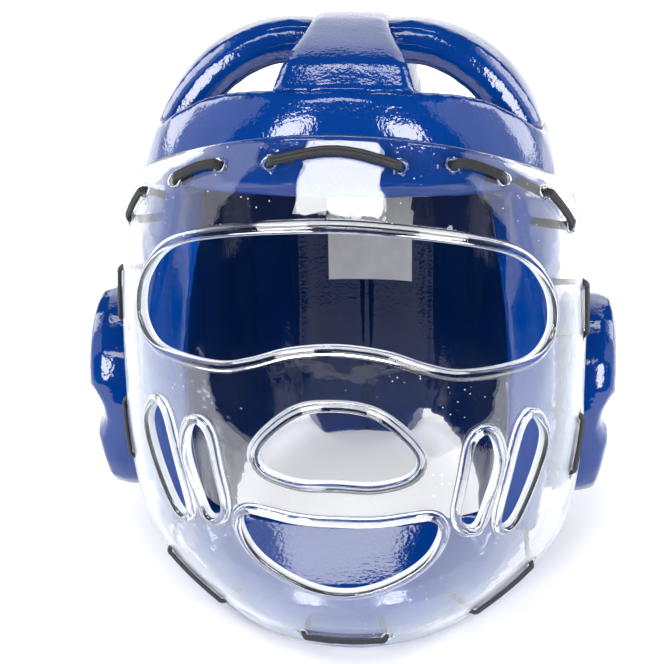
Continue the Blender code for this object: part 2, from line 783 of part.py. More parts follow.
def lace(row, tree, mat):
    path = lace_path(row, tree)
    chord = path[-4][0] - path[3][0]
    loops = []
    for i, (point, out) in enumerate(path):
        ahead = path[min(i + 1, len(path) - 1)][0]
        behind = path[max(i - 1, 0)][0]
        along = ahead - behind
        along /= np.linalg.norm(along)
        side = np.cross(out, chord)
        side -= along * np.dot(side, along)
        side /= np.linalg.norm(side)
        up = np.cross(along, side)
        half, thick = LACE_WIDTH / 2, LACE_THICKNESS / 2
        loops.append([
            point + side * half * a + up * thick * b
            for a, b in ((-1, 0), (-0.75, -1), (0.75, -1), (1, 0), (0.75, 1), (-0.75, 1))
        ])
    return loft(f"lace_{row[0]}", loops, mat)


def label_patch(mat):
    """A bare patch on the inner face of the nape panel."""
    loops = []
    for i in range(7):
        along = i / 6
        loop = []
        for deep in (0.0, LABEL_THICKNESS):
            line = []
            for j in range(5):
                height = LABEL_FOOT + LABEL_HEIGHT * j / 4
                x = LABEL_X + LABEL_WIDTH * (along - 0.5)
                wall = surface(np.array((x, AXIS_Y, height)), (0.0, 1.0, 0.0))
                back = (FOAM + 3 * GAP + deep) / outward(wall)[1]
                line.append(wall - np.array((0.0, back, 0.0)))
            loop += line if deep == 0 else line[::-1]
        loops.append(loop)
    return loft("label_patch", loops, mat)


def centre_parts():
    """Move all meshes so that the middle of the bottom of their common box is the origin."""
    things = [thing for thing in bpy.data.objects if thing.type == "MESH"]
    spots = np.array([v.co for thing in things for v in thing.data.vertices])
    low, high = spots.min(axis=0), spots.max(axis=0)
    middle = Vector(((low[0] + high[0]) / 2, (low[1] + high[1]) / 2, low[2]))
    for thing in things:
        for v in thing.data.vertices:
            v.co -= middle


def build():
    clear_scene()
    vinyl = (0.005, 0.047, 0.30)
    pads = []

    def foam(name):
        return material(name, vinyl, 0.25)

    pads.append(pad("forehead_band", band_place, 22, FOAM, foam("forehead_band"), BROW_EDGE))
    pads.append(pad("crown_strap", strap_place, 16, CROWN_FOAM, foam("crown_strap")))
    pads.append(pad("rear_panel", nape_place, 6, FOAM, foam("rear_panel"), FOAM_EDGE / 2, FOAM_EDGE, 12))
    pads.append(chin_guard(foam("chin_guard")))
    for side, word in ((-1, "left"), (1, "right")):
        pads.append(pad(
            f"crown_arch_{word}", arch_place(side), 9, CROWN_FOAM, foam(f"crown_arch_{word}"),
            CROWN_FOAM / 2, CROWN_FOAM / 2
        ))
        cheek = pad(
            f"cheek_wall_{word}", cheek_place(side), 9, FOAM, foam(f"cheek_wall_{word}"), FOAM_EDGE, 1.0, 10
        )
        drill_ear_hole(cheek, side)
        pads.append(cheek)
        pads.append(pad(
            f"rear_side_{word}", rear_side_place(side), 6, FOAM, foam(f"rear_side_{word}"),
            FOAM_EDGE, FOAM_EDGE, 8
        ))
        ear_guard(f"ear_guard_{word}", side, foam(f"ear_guard_{word}"))
    face_shield(material("face_shield", (0.93, 0.94, 0.95), 0.08, 1.0))
    tree = foam_tree(pads)
    for row in LACES:
        lace(row, tree, material(f"lace_{row[0]}", (0.01, 0.01, 0.012), 0.8))
    label_patch(material("label_patch", (0.45, 0.45, 0.46), 0.6))
    centre_parts()


build()
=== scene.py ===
"""Looks for the head guard: dipped foam pads, a laced clear shield and a bare label.

Named lengths are millimetres unless their comment says metres. The objects are in metres.
"""

import math

import bmesh
import bpy
import numpy as np
from mathutils import Matrix, Vector
from mathutils.bvhtree import BVHTree
from mathutils.geometry import delaunay_2d_cdt


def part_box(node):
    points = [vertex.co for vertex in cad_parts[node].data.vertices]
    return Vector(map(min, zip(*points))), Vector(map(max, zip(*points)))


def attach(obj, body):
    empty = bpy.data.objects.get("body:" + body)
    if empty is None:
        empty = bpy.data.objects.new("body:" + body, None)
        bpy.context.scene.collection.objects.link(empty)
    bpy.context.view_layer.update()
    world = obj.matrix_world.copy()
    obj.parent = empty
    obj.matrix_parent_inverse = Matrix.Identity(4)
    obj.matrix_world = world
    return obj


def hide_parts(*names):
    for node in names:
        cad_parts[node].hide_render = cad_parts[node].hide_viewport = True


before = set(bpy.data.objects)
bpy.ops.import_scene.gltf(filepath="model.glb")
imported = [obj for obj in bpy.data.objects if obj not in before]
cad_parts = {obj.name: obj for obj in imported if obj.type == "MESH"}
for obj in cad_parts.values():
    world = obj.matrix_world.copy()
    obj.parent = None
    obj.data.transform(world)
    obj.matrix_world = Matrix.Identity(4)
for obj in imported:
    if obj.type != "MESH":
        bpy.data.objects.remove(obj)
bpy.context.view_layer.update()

MM = 0.001

# The CAD is centred on its box: this is where its own zero lies along the depth
EAR_Y = 12.0
EAR_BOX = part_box("ear_guard_left")
SHIFT = np.array((0.0, (EAR_BOX[0][1] + EAR_BOX[1][1]) / 2 / MM - EAR_Y, 0.0))

# Foam: voxel size, growth that closes the gaps between pads, rounds of smoothing
SHELL_NODES = (
    "forehead_band", "cheek_wall_left", "cheek_wall_right", "rear_side_left", "rear_side_right",
    "rear_panel", "chin_guard",
)
SHELL_VOXEL = 1.8
SHELL_GROWTH = 0.6
SHELL_ROUNDS = 6
CROWN_VOXEL = 1.5
CROWN_ROUNDS = 5
EAR_VOXEL = 1.5
EAR_GROWTH = 0.4
EAR_ROUNDS = 6
# Skin that bends less than this between neighbours is smoothed further, fading out over a share of it
BROAD_BEND = 0.10
BROAD_FADE = 0.6
BROAD_ROUNDS = 45
# The ends of the crown pads tuck under their neighbours: along, down, and how much of the end bends
TUCK = 7.0
TUCK_SINK = 2.6
TUCK_REACH = 13.0
STRAP_TUCK_SHARE = 0.6

ARCH_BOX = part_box("crown_arch_right")
ARCH_TOP_X = ARCH_BOX[0][0] / MM
ARCH_FOOT_Z = ARCH_BOX[0][2] / MM
STRAP_FRONT_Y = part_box("crown_strap")[0][1] / MM

# Grooves down the inside of the nape: place across, depth and half width
NAPE_GROOVES = ((-33.0, 1.6, 2.2), (1.0, 2.2, 2.0), (35.0, 1.6, 2.2))
NAPE_FRONT_Y = 60.0
NAPE_FACING_Y = -0.5

# Shield, as in the CAD: a domed sheet, with its rows from foot to brow
SHIELD_HALF_WIDTH = 102.0
SHIELD_HEIGHT = 240.0
SHIELD_FOOT = 12.0
SHIELD_DEPTH = 82.0
SHIELD_SIDE_Y = -44.0
SHIELD_THICKNESS = 3.0
SHIELD_TURN = 2.6
SHIELD_SHIFT = 1.0
# share of the run; middle: depth, height; side end: half width, depth, height; wrap angle
SHIELD_ROWS = (
    (0.00, 0.66, 0.000, 0.56, 0.36, 0.028, 50),
    (0.08, 0.76, 0.060, 0.765, 0.20, 0.080, 65),
    (0.18, 0.85, 0.145, 0.915, 0.10, 0.155, 78),
    (0.28, 0.92, 0.245, 0.975, 0.05, 0.245, 85),
    (0.40, 0.98, 0.370, 1.00, 0.02, 0.355, 88),
    (0.52, 1.00, 0.495, 1.00, 0.01, 0.465, 90),
    (0.64, 0.95, 0.620, 1.00, 0.00, 0.577, 90),
    (0.76, 0.84, 0.745, 0.99, 0.00, 0.700, 88),
    (0.88, 0.65, 0.867, 0.95, 0.00, 0.818, 80),
    (0.95, 0.50, 0.945, 0.87, 0.03, 0.878, 68),
    (1.00, 0.385, 1.000, 0.73, 0.12, 0.915, 50),
)
# The sheet laid flat: its runs, as multiples of the half width and of the height
ACROSS_RUN = 1.5
UP_RUN = 1.08

# Openings of the shield, across and up the sheet: the middle ones as one half
EYE_OPENING = (
    (0.00, 0.872), (0.20, 0.866), (0.38, 0.852), (0.52, 0.832), (0.60, 0.805), (0.655, 0.760),
    (0.668, 0.715), (0.645, 0.680), (0.575, 0.655), (0.46, 0.650), (0.33, 0.653), (0.24, 0.668),
    (0.13, 0.692), (0.00, 0.702),
)
NOSE_VENT = (
    (0.00, 0.590), (0.09, 0.580), (0.165, 0.543), (0.212, 0.500), (0.190, 0.468), (0.10, 0.453),
    (0.00, 0.456),
)
CHIN_VENT = (
    (0.00, 0.363), (0.11, 0.363), (0.20, 0.369), (0.262, 0.368), (0.288, 0.340), (0.262, 0.288),
    (0.20, 0.250), (0.10, 0.218), (0.00, 0.207),
)
INNER_VENT = (
    (0.405, 0.530), (0.378, 0.510), (0.363, 0.450), (0.349, 0.380), (0.362, 0.348), (0.400, 0.338),
    (0.426, 0.385), (0.455, 0.465), (0.435, 0.518),
)
OUTER_VENT = (
    (0.575, 0.540), (0.543, 0.518), (0.512, 0.440), (0.488, 0.345), (0.510, 0.317), (0.550, 0.335),
    (0.612, 0.425), (0.637, 0.485), (0.612, 0.522),
)
OPENING_STEP = 2.2
# Rolled rims of the openings, and the rounding of the sheet's edge and of its lace holes
BEAD_RADIUS = 1.9
BEAD_OUT = 1.5
BEAD_IN = 0.6
EDGE_ROUND = 1.4
HOLE_ROUND = 0.8
# Rings of points that carry those curves, as shares of the three radii, and the grid between them
BEAD_RINGS = (0.25, 0.6, 1.0, 1.4, 1.75, 2.0, 2.8)
EDGE_RINGS = (0.12, 0.35, 0.65, 1.0, 1.6)
HOLE_RINGS = (0.15, 0.5, 1.0, 1.8)
SHEET_STEP = 4.0
BORDER_STEPS = 64

# Laces: flat elastic of a few cords side by side, with ribs across it
LACE_WIDTH = 4.8
LACE_THICKNESS = 2.2
LACE_SIDES = 28
LACE_STEPS = 12
LACE_LIFT = 0.1
LACE_SINK = 0.4
LACE_TURN = 0.65
LACE_FLATNESS = 0.6
HOLE_RADIUS = 2.7
HOLE_SIDES = 16
RIB_PITCH = 1.1
RIB_DEPTH = 0.10
CORDS = 3
CORD_DEPTH = 0.45
# From hole to hole, across and up the sheet, and the bow of a loose one
LACES = (
    ("top", -0.30, 0.962, 0.22, 0.962, 4.0),
    ("brow_left", -0.68, 0.928, -0.52, 0.957, 2.0),
    ("brow_right", 0.455, 0.968, 0.635, 0.948, 2.0),
    ("temple_left", -0.83, 0.900, -0.885, 0.838, 0.0),
    ("temple_right", 0.80, 0.922, 0.870, 0.852, 0.0),
    ("side_left", -0.92, 0.740, -0.92, 0.638, 0.0),
    ("side_right", 0.92, 0.740, 0.92, 0.638, 0.0),
    ("jaw_left", -0.90, 0.470, -0.85, 0.355, 0.0),
    ("jaw_right", 0.90, 0.470, 0.85, 0.355, 0.0),
    ("lower_left", -0.76, 0.175, -0.66, 0.065, 0.0),
    ("lower_right", 0.76, 0.175, 0.66, 0.065, 0.0),
    ("bottom", -0.22, 0.050, 0.22, 0.050, 0.0),
)

# Dipped skin: its orange peel and the runs of the liquid
PEEL_SIZE = 1.6
RUN_SIZE = 16
# How far the foam looks for walls round it, in metres, for the painted shade that darkens the inside of the
# guard
PAINTED_SHADE_REACH = 0.28

# Shield: moulded waves, patches where dust stays, and specks as shares of a cell and of the cells
WAVE_SIZE = 14
DUSTY_PATCH = 28
DUSTY_FROM = 0.52
SPECK_CELL = 3.0
SPECK_SIZE = 0.09
SPECK_SHARE = 0.45

# Studio, in metres: a floor that glows beyond the guard, with a painted shadow where the glow fades under
# it, and a flag that widens away from it
FLOOR_REACH = 6.0
GLOW_FROM = 0.08
GLOW_FULL = 0.24
GLOW = 0.45
FLAG_NEAR = 0.30
FLAG_FAR = 1.2
FLAG_END = 2.7
FLAG_NEAR_HALF_WIDTH = 0.37
FLAG_FAR_HALF_WIDTH = 2.22
FLAG_LIFT = 0.002
WORLD_STRENGTH = 0.05
# Lights: name, place, target, size and radiance, with the right one of each pair
LIT_MIDDLE = (0.0, 0.0, 0.12)
LIGHT_PAIRS = (
    ("softbox", (1.0, 0.65, 0.55), LIT_MIDDLE, (0.5, 0.9), 5.0),
    ("card", (1.1, 0.1, 0.6), LIT_MIDDLE, (1.4, 1.2), 1.3),
    ("front_softbox", (0.54, -1.04, 0.60), (0.0, 0.0, 0.24), (0.38, 0.42), 18.0),
)
SINGLE_LIGHTS = (
    ("back_card", (0.0, 1.8, 0.75), LIT_MIDDLE, (1.5, 1.5), 1.6),
    ("brow_softbox", (-0.20, -1.05, 1.25), LIT_MIDDLE, (0.78, 0.34), 9.0),
    ("crown_softbox", (0.0, 0.42, 1.35), LIT_MIDDLE, (0.8, 0.12), 9.0),
    ("chin_card", (-0.015, -0.022, 0.185), (-0.003, -0.074, 0.04), (0.12, 0.05), 8.0),
)

# Camera: the photograph's view
PHOTO = 664
VIEW_AZIMUTH = 3.0
VIEW_ELEVATION = 28.0
VIEW_ROLL = -0.6
VIEW_DISTANCE = 1200.0
VIEW_TARGET = (0.0, 0.0, 120.0)
VIEW_SCALE = 2.17
VIEW_CENTRE_X = 353.0


def linear(code):
    """An sRGB hex colour as linear red, green, blue and alpha."""
    channels = [int(code[i:i + 2], 16) / 255 for i in (0, 2, 4)]
    return tuple(c / 12.92 if c <= 0.04045 else ((c + 0.055) / 1.055) ** 2.4 for c in channels) + (1.0,)


def add_node(tree, kind, settings=None, links=None, **values):
    """Add a node: settings are its properties, values its sockets, links a socket fed from another."""
    node = tree.nodes.new(kind)
    for name, value in (settings or {}).items():
        setattr(node, name, value)
    for name, value in values.items():
        node.inputs[name.replace("_", " ")].default_value = value
    for name, source in (links or {}).items():
        tree.links.new(source, node.inputs[name])
    return node


def new_material(name):
    mat = bpy.data.materials.new(name)
    mat.use_nodes = True
    tree = mat.node_tree
    return mat, tree, tree.nodes["Principled BSDF"]


def noise(tree, place, size, **values):
    """Noise whose waves are about a size long, in millimetres."""
    made = add_node(tree, "ShaderNodeTexNoise", links={"Vector": place}, Scale=1 / (size * MM), **values)
    return made.outputs["Fac"]


def tint_between(tree, share, low, high):
    """A mix of two hex colours: low where the share is 0, high where it is 1."""
    tint = add_node(tree, "ShaderNodeMix", {"data_type": "RGBA"}, {"Factor": share})
    tint.inputs[6].default_value = linear(low)
    tint.inputs[7].default_value = linear(high)
    return tint.outputs[2]


def add_bump(tree, height, strength, distance, under=None):
    """The normal of a bump, with its distance in millimetres, laid over another bump's normal."""
    links = {"Height": height}
    if under is not None:
        links["Normal"] = under
    made = add_node(tree, "ShaderNodeBump", links=links, Strength=strength, Distance=distance * MM)
    return made.outputs["Normal"]


def compare(tree, operation, socket, limit):
    made = add_node(tree, "ShaderNodeMath", {"operation": operation}, {0: socket})
    made.inputs[1].default_value = limit
    return made.outputs[0]


def combine(tree, operation, first, second):
    return add_node(tree, "ShaderNodeMath", {"operation": operation}, {0: first, 1: second}).outputs[0]


def mix_shaders(tree, share, low, high):
    """A mix of two shaders: low where the share is 0, high where it is 1."""
    return add_node(tree, "ShaderNodeMixShader", links={0: share, 1: low, 2: high}).outputs["Shader"]


def dipped_vinyl():
    """Foam dipped in liquid vinyl and cured: a thick glossy skin with an orange peel of 1 to 2 mm,
    slow waves where the liquid ran, and highlights whose edges break up. The hollow inside is drawn
    darker with painted shade, where ambient occlusion finds the foam's own walls near."""
    mat, tree, shader = new_material("dipped_vinyl")
    place = add_node(tree, "ShaderNodeTexCoord").outputs["Object"]
    peel = noise(tree, place, PEEL_SIZE, Detail=1.5, Roughness=0.5)
    waves = noise(tree, place, RUN_SIZE, Detail=2.0, Roughness=0.55)
    tint = tint_between(tree, waves, "002C70", "003784")
    run = add_bump(tree, waves, 0.25, 1.0)
    skin = add_bump(tree, peel, 0.7, 0.16, run)
    # Painted shade: where ambient occlusion finds walls near, the colour turns to dark navy
    hollow = add_node(
        tree, "ShaderNodeAmbientOcclusion", {"samples": 6, "only_local": True}, Distance=PAINTED_SHADE_REACH,
    )
    depth = add_node(
        tree, "ShaderNodeMapRange", links={"Value": hollow.outputs["AO"]}, From_Min=0.30, From_Max=0.90,
    )
    shade = add_node(tree, "ShaderNodeMix", {"data_type": "RGBA"}, {"Factor": depth.outputs["Result"]})
    # Dark navy of the painted shade
    shade.inputs[6].default_value = linear("040E26")
    tree.links.new(tint, shade.inputs[7])
    tree.links.new(shade.outputs[2], shader.inputs["Base Color"])
    tree.links.new(skin, shader.inputs["Normal"])
    shader.inputs["Roughness"].default_value = 0.08
    shader.inputs["IOR"].default_value = 1.52
    return mat


def dust_specks(tree, place):
    """Where a speck of dust lies: a dot in some of the cells, on the patches that weren't wiped."""
    cells = add_node(tree, "ShaderNodeTexVoronoi", links={"Vector": place}, Scale=1 / (SPECK_CELL * MM))
    handled = noise(tree, place, DUSTY_PATCH, Detail=1.0)
    chosen = add_node(tree, "ShaderNodeSeparateColor", links={"Color": cells.outputs["Color"]})
    small = compare(tree, "LESS_THAN", cells.outputs["Distance"], SPECK_SIZE)
    few = compare(tree, "LESS_THAN", chosen.outputs["Red"], SPECK_SHARE)
    worn = compare(tree, "GREATER_THAN", handled, DUSTY_FROM)
    return combine(tree, "MULTIPLY", combine(tree, "MULTIPLY", small, few), worn)


def clear_polycarbonate():
    """Moulded polycarbonate: water-clear and glossy, with the slow waves that moulding leaves, dust
    specks, and fine scuffs from handling that spread the gloss at steep angles into a pale veil."""
    mat, tree, shader = new_material("clear_polycarbonate")
    place = add_node(tree, "ShaderNodeTexCoord").outputs["Object"]
    speck = dust_specks(tree, place)
    dust = add_node(tree, "ShaderNodeBsdfDiffuse", Color=linear("EDEFF2"))
    waves = noise(tree, place, WAVE_SIZE, Detail=2.0)
    tree.links.new(add_bump(tree, waves, 0.5, 0.4), shader.inputs["Normal"])
    shader.inputs["Base Color"].default_value = linear("FFFFFF")
    shader.inputs["Roughness"].default_value = 0.02
    shader.inputs["IOR"].default_value = 1.58
    shader.inputs["Transmission Weight"].default_value = 1.0
    dusty = mix_shaders(tree, speck, shader.outputs["BSDF"], dust.outputs["BSDF"])
    steep = add_node(tree, "ShaderNodeLayerWeight", Blend=0.5)
    scuffed = add_node(
        tree, "ShaderNodeMapRange", links={"Value": steep.outputs["Facing"]}, From_Min=0.28, To_Max=0.75,
    )
    gloss = add_node(tree, "ShaderNodeBsdfAnisotropic", Color=linear("CDD5DC"), Roughness=0.35)
    glossy = mix_shaders(tree, scuffed.outputs["Result"], dusty, gloss.outputs["BSDF"])
    clear = add_node(tree, "ShaderNodeBsdfTransparent", Color=linear("FAFBFC"))
    path = add_node(tree, "ShaderNodeLightPath")
    lit = combine(tree, "MAXIMUM", path.outputs["Is Shadow Ray"], path.outputs["Is Diffuse Ray"])
    mixed = mix_shaders(tree, lit, glossy, clear.outputs["BSDF"])
    tree.links.new(mixed, tree.nodes["Material Output"].inputs["Surface"])
    return mat


def cut_edge():
    """Edges of the sheet, flame polished, that show pale with a painted glow: an uneven emission stands in
    for light piped along the sheet and leaving here.
    """
    mat, tree, shader = new_material("cut_edge")
    place = add_node(tree, "ShaderNodeTexCoord").outputs["Object"]
    # Painted glow: the edges emit a faint, uneven light of their own
    uneven = noise(tree, place, 6, Detail=1.0)
    glow = add_node(tree, "ShaderNodeMapRange", links={"Value": uneven}, To_Min=0.02, To_Max=0.14)
    tree.links.new(glow.outputs["Result"], shader.inputs["Emission Strength"])
    shader.inputs["Emission Color"].default_value = linear("F2F5F8")
    shader.inputs["Base Color"].default_value = linear("DDE2E8")
    shader.inputs["Roughness"].default_value = 0.3
    shader.inputs["IOR"].default_value = 1.58
    shader.inputs["Transmission Weight"].default_value = 0.5
    return mat


def black_elastic():
    """Braided rubber-cored elastic: dull black yarn, with a faint shine on its ribs."""
    mat, tree, shader = new_material("black_elastic")
    place = add_node(tree, "ShaderNodeTexCoord").outputs["Object"]
    yarn = noise(tree, place, 0.5, Detail=1.0)
    tree.links.new(tint_between(tree, yarn, "050609", "171A24"), shader.inputs["Base Color"])
    tree.links.new(add_bump(tree, yarn, 0.6, 0.2), shader.inputs["Normal"])
    shader.inputs["Roughness"].default_value = 0.55
    shader.inputs["IOR"].default_value = 1.5
    return mat


def woven_label():
    """Satin-woven polyester tape: pale grey, slightly glossy, its threads drawn 0.8 mm apart to show."""
    mat, tree, shader = new_material("woven_label")
    place = add_node(tree, "ShaderNodeTexCoord").outputs["Object"]
    threads = add_node(
        tree, "ShaderNodeTexWave", {"bands_direction": "Z"}, {"Vector": place},
        Scale=0.31 / (0.8 * MM), Distortion=0.6,
    )
    cloud = noise(tree, place, 9, Detail=2.0)
    tree.links.new(tint_between(tree, cloud, "B4B4B7", "D0D0D2"), shader.inputs["Base Color"])
    tree.links.new(add_bump(tree, threads.outputs["Fac"], 0.3, 0.1), shader.inputs["Normal"])
    shader.inputs["Roughness"].default_value = 0.5
    return mat


def add_object(name, mesh):
    thing = bpy.data.objects.new(name, mesh)
    bpy.context.scene.collection.objects.link(thing)
    return thing


def mesh_object(name, vertices, faces):
    """A smooth-shaded object from points in millimetres in the CAD's own zero."""
    mesh = bpy.data.meshes.new(name)
    mesh.from_pydata([tuple((np.array(v) + SHIFT) * MM) for v in vertices], [], faces)
    work = bmesh.new()
    work.from_mesh(mesh)
    bmesh.ops.recalc_face_normals(work, faces=work.faces[:])
    for face in work.faces:
        face.smooth = True
    work.to_mesh(mesh)
    work.free()
    return add_object(name, mesh)


def finish_piece(thing, mat, *nodes, slot=None):
    thing.data.materials.clear()
    thing.data.materials.append(mat)
    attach(thing, "root")
    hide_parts(*nodes)


def applied(thing):
    """Replace an object's mesh by the result of its modifiers."""
    graph = bpy.context.evaluated_depsgraph_get()
    mesh = bpy.data.meshes.new_from_object(thing.evaluated_get(graph))
    old = thing.data
    thing.modifiers.clear()
    thing.data = mesh
    bpy.data.meshes.remove(old)


def bends(mesh):
    """How far each point's normal turns from its neighbours' normals, at most."""
    normals = np.zeros(len(mesh.vertices) * 3)
    mesh.vertex_normals.foreach_get("vector", normals)
    normals = normals.reshape(-1, 3)
    ends = np.zeros(len(mesh.edges) * 2, int)
    mesh.edges.foreach_get("vertices", ends)
    ends = ends.reshape(-1, 2)
    turn = np.linalg.norm(normals[ends[:, 0]] - normals[ends[:, 1]], axis=1)
    most = np.zeros(len(mesh.vertices))
    for column in (0, 1):
        np.maximum.at(most, ends[:, column], turn)
    return most


def smoothed(thing, rounds, group=""):
    ease = thing.modifiers.new("ease", "SMOOTH")
    ease.factor = 0.5
    ease.iterations = rounds
    ease.vertex_group = group
    applied(thing)


def tuck_arch(point):
    """Slide the top of an arch under the strap, and its foot behind the brow band."""
    x, y, z = point
    side = math.copysign(1.0, x)
    top = min(max(1 - (abs(x) - ARCH_TOP_X) / TUCK_REACH, 0.0), 1.0)
    foot = min(max(1 - (z - ARCH_FOOT_Z) / TUCK_REACH, 0.0), 1.0)
    return Vector((x - side * (TUCK * top + TUCK_SINK * foot), y, z - TUCK_SINK * top - TUCK * foot))


def tuck_strap(point):
    """Slide the front of the strap behind the brow band."""
    x, y, z = point
    front = min(max(1 - (y - STRAP_FRONT_Y) / TUCK_REACH, 0.0), 1.0)
    return Vector((x, y - TUCK * STRAP_TUCK_SHARE * front, z - TUCK_SINK * front))


def foam_piece(name, nodes, growth, voxel, rounds, tuck=None):
    """The CAD pads of a foam piece, grown until they touch, fused into one skin and smoothed.

    Broad stretches are smoothed again, so that they reflect evenly, and edges stay crisp."""
    work = bmesh.new()
    for node in nodes:
        work.from_mesh(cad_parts[node].data)
    bmesh.ops.remove_doubles(work, verts=work.verts[:], dist=0.01 * MM)
    bmesh.ops.recalc_face_normals(work, faces=work.faces[:])
    work.normal_update()
    moves = [(v, v.co + v.normal * growth * MM) for v in work.verts]
    for v, place in moves:
        v.co = tuck(place / MM) * MM if tuck else place
    mesh = bpy.data.meshes.new(name)
    work.to_mesh(mesh)
    work.free()
    thing = add_object(name, mesh)
    fuse = thing.modifiers.new("fuse", "REMESH")
    fuse.mode = "VOXEL"
    fuse.voxel_size = voxel * MM
    applied(thing)
    smoothed(thing, rounds)
    broad = thing.vertex_groups.new(name="broad")
    turns = bends(thing.data)
    weights = np.clip((BROAD_BEND * (1 + BROAD_FADE) - turns) / (BROAD_BEND * BROAD_FADE), 0.0, 1.0)
    for i, weight in enumerate(weights):
        if weight > 0:
            broad.add([i], float(weight), "REPLACE")
    smoothed(thing, BROAD_ROUNDS, "broad")
    thing.vertex_groups.clear()
    thing.data.polygons.foreach_set("use_smooth", [True] * len(thing.data.polygons))
    return thing


def carve_nape(shell):
    """Press the grooves into the inside of the rear wall."""
    mesh = shell.data
    for vertex, bend in zip(mesh.vertices, mesh.vertex_normals):
        x, y, z = vertex.co / MM
        if y < NAPE_FRONT_Y or bend.vector.y > NAPE_FACING_Y:
            continue
        depth = sum(d * math.exp(-((x - place) / wide) ** 2) for place, d, wide in NAPE_GROOVES)
        vertex.co.y += depth * MM


def curve_value(rows, column, key):
    """A smooth value between a table's rows, at a key of its first column."""
    keys = [row[0] for row in rows]
    values = [row[column] for row in rows]
    last = len(rows) - 1
    low = min(max(sum(k <= key for k in keys) - 1, 0), last - 1)
    span = keys[low + 1] - keys[low]
    share = min(max((key - keys[low]) / span, 0.0), 1.0)

    def slope(i):
        before, after = max(i - 1, 0), min(i + 1, last)
        return (values[after] - values[before]) / (keys[after] - keys[before]) * span

    cubic, square = share ** 3, share ** 2
    return (
        (2 * cubic - 3 * square + 1) * values[low]
        + (cubic - 2 * square + share) * slope(low)
        + (3 * square - 2 * cubic) * values[low + 1]
        + (cubic - square) * slope(low + 1)
    )


def shield_point(across, up):
    """Outer surface of the shield; across runs from -1 to 1, up from 0 to 1."""
    mid_depth, mid_rise, side_width, side_depth, side_rise, wrap = (
        curve_value(SHIELD_ROWS, column, up) for column in range(1, 7)
    )
    angle = math.radians(wrap)
    x = SHIELD_HALF_WIDTH * side_width * math.sin(angle * across) / math.sin(angle)
    share = (1 - math.cos(angle * across)) / (1 - math.cos(angle))
    depth = SHIELD_DEPTH * (mid_depth + (side_depth - mid_depth) * share)
    z = SHIELD_FOOT + SHIELD_HEIGHT * (mid_rise + (side_rise - mid_rise) * share)
    y = SHIELD_SIDE_Y - depth
    turn = math.radians(SHIELD_TURN)
    pivot = SHIELD_SIDE_Y - SHIELD_DEPTH / 2
    turned_x = x * math.cos(turn) + (y - pivot) * math.sin(turn)
    turned_y = pivot - x * math.sin(turn) + (y - pivot) * math.cos(turn)
    return np.array((turned_x + SHIELD_SHIFT, turned_y, z))


def shield_outward(across, up):
    step = 0.004
    low, high = max(up - step, 0.0), min(up + step, 1.0)
    left, right = max(across - step, -1.0), min(across + step, 1.0)
    along = shield_point(right, up) - shield_point(left, up)
    rise = shield_point(across, high) - shield_point(across, low)
    direction = np.cross(along, rise)
    return direction / np.linalg.norm(direction)


def sheet_xy(across, up):
    """Flat coordinates of the sheet in millimetres."""
    return np.array((across * SHIELD_HALF_WIDTH * ACROSS_RUN, up * SHIELD_HEIGHT * UP_RUN))


def sheet_uv(flat):
    across = flat[0] / (SHIELD_HALF_WIDTH * ACROSS_RUN)
    up = flat[1] / (SHIELD_HEIGHT * UP_RUN)
    return min(max(across, -1.0), 1.0), min(max(up, 0.0), 1.0)


def between(a, b, c, d, t):
    """The point of a smooth line through a, b, c and d that lies at a share t between b and c."""
    square = (2 * a - 5 * b + 4 * c - d) * t * t
    cubic = (3 * b - a - 3 * c + d) * t ** 3
    return 0.5 * (2 * b + (c - a) * t + square + cubic)


def closed_curve(points, step):
    """A smooth closed line through points, with points about a step apart."""
    points = [np.array(p) for p in points]
    total = len(points)
    dense = []
    for k in range(total):
        a, b, c, d = (points[(k + shift) % total] for shift in (-1, 0, 1, 2))
        for t in np.arange(20) / 20:
            dense.append(between(a, b, c, d, t))
    lengths = [0.0]
    for a, b in zip(dense, dense[1:] + dense[:1]):
        lengths.append(lengths[-1] + np.linalg.norm(b - a))
    count = int(lengths[-1] / step)
    places = np.arange(count) * lengths[-1] / count
    closed = np.array(dense + dense[:1])
    return [np.array([np.interp(p, lengths, closed[:, i]) for i in (0, 1)]) for p in places]


def whole_outline(half):
    return [sheet_xy(u, v) for u, v in half] + [sheet_xy(-u, v) for u, v in half[-2:0:-1]]


def shield_openings():
    halves = (EYE_OPENING, NOSE_VENT, CHIN_VENT)
    openings = [closed_curve(whole_outline(half), OPENING_STEP) for half in halves]
    for side in (-1, 1):
        for vent in (INNER_VENT, OUTER_VENT):
            openings.append(closed_curve([sheet_xy(side * u, v) for u, v in vent], OPENING_STEP))
    return openings


def flat_step(u, v, move):
    """The step in flat coordinates that moves a place on the sheet by a real step along it."""
    step = 0.01
    across = shield_point(min(u + step, 1.0), v) - shield_point(max(u - step, -1.0), v)
    up = shield_point(u, min(v + step, 1.0)) - shield_point(u, max(v - step, 0.0))
    flat_across = sheet_xy(min(u + step, 1.0) - max(u - step, -1.0), 0)[0]
    flat_up = sheet_xy(0, min(v + step, 1.0) - max(v - step, 0.0))[1]
    slopes = np.column_stack((across / flat_across, up / flat_up))
    return np.linalg.lstsq(slopes, move, rcond=None)[0]


def lace_holes():
    circles = []
    for _, u1, v1, u2, v2, _ in LACES:
        for u, v in ((u1, v1), (u2, v2)):
            out = shield_outward(u, v)
            level = np.cross(out, (0.0, 0.0, 1.0))
            level /= np.linalg.norm(level)
            rise = np.cross(out, level)
            circles.append([
                sheet_xy(u, v) + flat_step(u, v, HOLE_RADIUS * (level * math.cos(a) + rise * math.sin(a)))
                for a in np.arange(HOLE_SIDES) * 2 * math.pi / HOLE_SIDES
            ])
    return circles


def grown(outline, distance):
    """An outline moved outwards by a distance."""
    total = len(outline)
    area = sum(a[0] * b[1] - a[1] * b[0] for a, b in zip(outline, outline[1:] + outline[:1]))
    sign = 1 if area > 0 else -1
    moved = []
    for i, point in enumerate(outline):
        along = outline[(i + 1) % total] - outline[i - 1]
        along /= np.linalg.norm(along)
        moved.append(point + sign * distance * np.array((along[1], -along[0])))
    return moved


